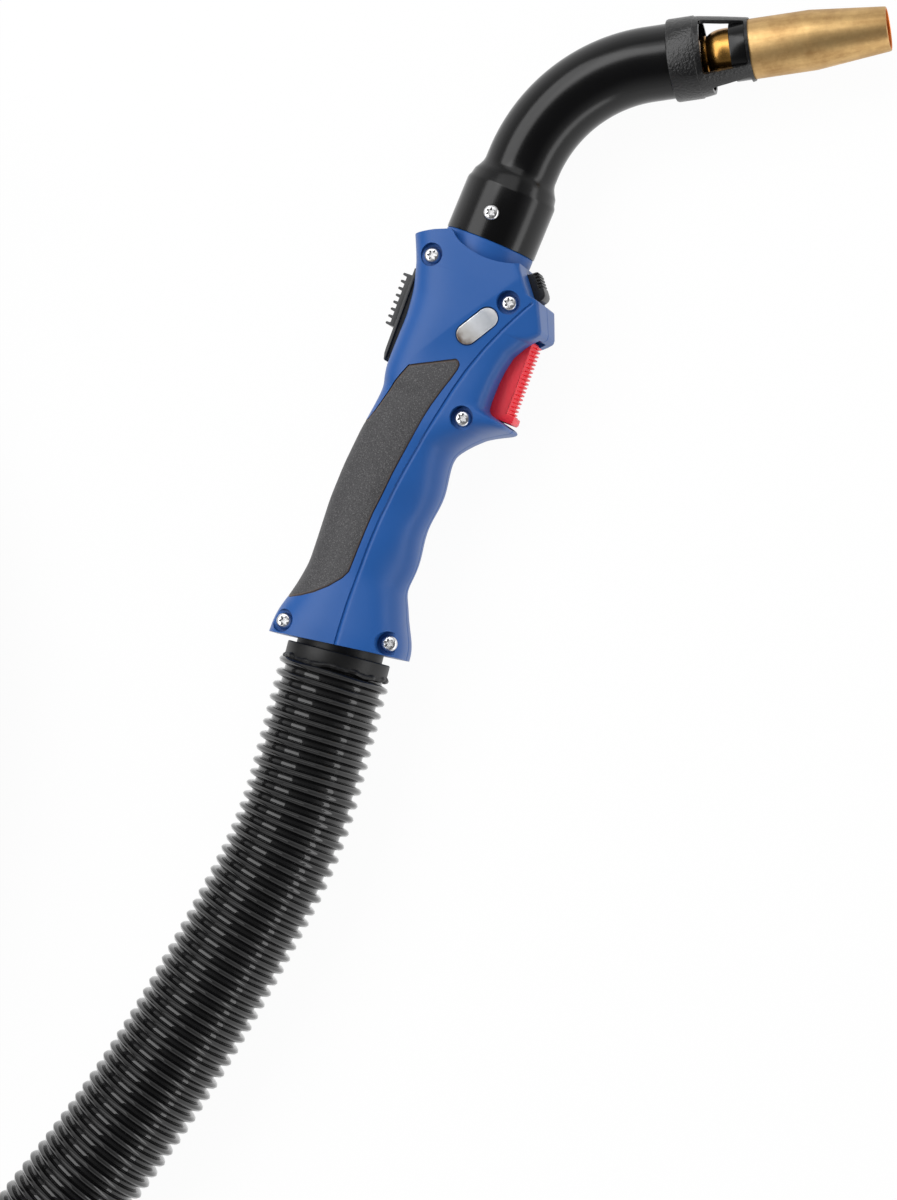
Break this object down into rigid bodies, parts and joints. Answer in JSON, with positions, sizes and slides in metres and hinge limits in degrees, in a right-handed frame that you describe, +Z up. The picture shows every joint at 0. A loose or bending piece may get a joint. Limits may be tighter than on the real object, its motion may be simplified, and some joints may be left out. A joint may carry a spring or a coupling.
{
  "type": "fume extraction welding torch",
  "caption": "Hand-held gas welding torch with a swan neck, fume extraction nozzle, trigger handle and a long ribbed extraction hose that ends in a machine plug.",
  "frame": {"origin": "middle of the base of the torch's own box, on the surface it lies on, without the hose and plug", "axes": "+Y along the handle from the hose to the neck, +X towards the trigger side, +Z up out of the side that lies upwards"},
  "size_m": [0.7762, 0.7269, 0.094],
  "materials": {
    "blue_shell": "satin moulded",
    "grip_rubber": "fine grain",
    "red_plastic": "satin",
    "black_plastic": "satin",
    "shroud_black": "glossy",
    "hose_black": "glossy ribbed",
    "fume_black": "grained",
    "steel": "satin",
    "badge_silver": "clear domed",
    "brass": "satin turned",
    "copper": "satin",
    "cable_black": "matte",
    "insert_cream": "matte",
    "tie_grey": "woven"
  },
  "bodies": {
    "torch": {"handle_shell_near": "blue_shell", "handle_shell_far": "blue_shell", "grip_pad_near": "grip_rubber", "grip_pad_far": "grip_rubber", "handle_screws": "steel", "badge": "badge_silver", "trigger_pin": "steel", "microswitch": "black_plastic", "bypass_bezel": "black_plastic", "neck_collar": "blue_shell", "neck_shroud": "shroud_black", "shroud_screws": "steel", "inner_neck": "brass", "wire_liner": "steel", "neck_nut": "brass", "power_cable": "cable_black", "fume_nozzle": "fume_black", "nozzle_seat": "brass", "insulator_ring": "black_plastic", "gas_nozzle": "brass", "gas_diffuser": "brass", "tip_holder": "brass", "contact_tip": "copper", "hose_cuff": "black_plastic", "hose_run": "hose_black", "hose_coil": "hose_black", "coil_tie": "tie_grey", "end_cuff": "black_plastic", "junction_body": "black_plastic", "plug_housing": "black_plastic", "plug_insert": "insert_cream", "plug_contacts": "brass"},
    "trigger": {"trigger": "red_plastic"},
    "lock_button": {"lock_button": "black_plastic"},
    "bypass_slide": {"bypass_slide": "black_plastic"},
    "plug_nut": {"plug_nut": "black_plastic"}
  },
  "joints": [
    {"name": "trigger_press", "type": "hinge", "parent": "torch", "child": "trigger", "pos_m": [-0.02445, -0.01437, 0.0236], "axis": [0, 0, -1], "range_deg": [0, 7], "stiffness_Nm_per_rad": 1, "springref_deg": -3.44},
    {"name": "lock_push", "type": "slide", "parent": "torch", "child": "lock_button", "axis": [-0.7955, -0.606, 0], "range_m": [0, 0.0018], "stiffness_N_per_m": 1200, "springref_m": -0.0006},
    {"name": "bypass_travel", "type": "slide", "parent": "torch", "child": "bypass_slide", "axis": [0, -1, 0], "range_m": [0, 0.009]},
    {"name": "plug_nut_turn", "type": "hinge", "parent": "torch", "child": "plug_nut", "pos_m": [-0.29554, -0.05832, 0.0704], "axis": [1, -0.0096, 0], "continuous": true}
  ]
}
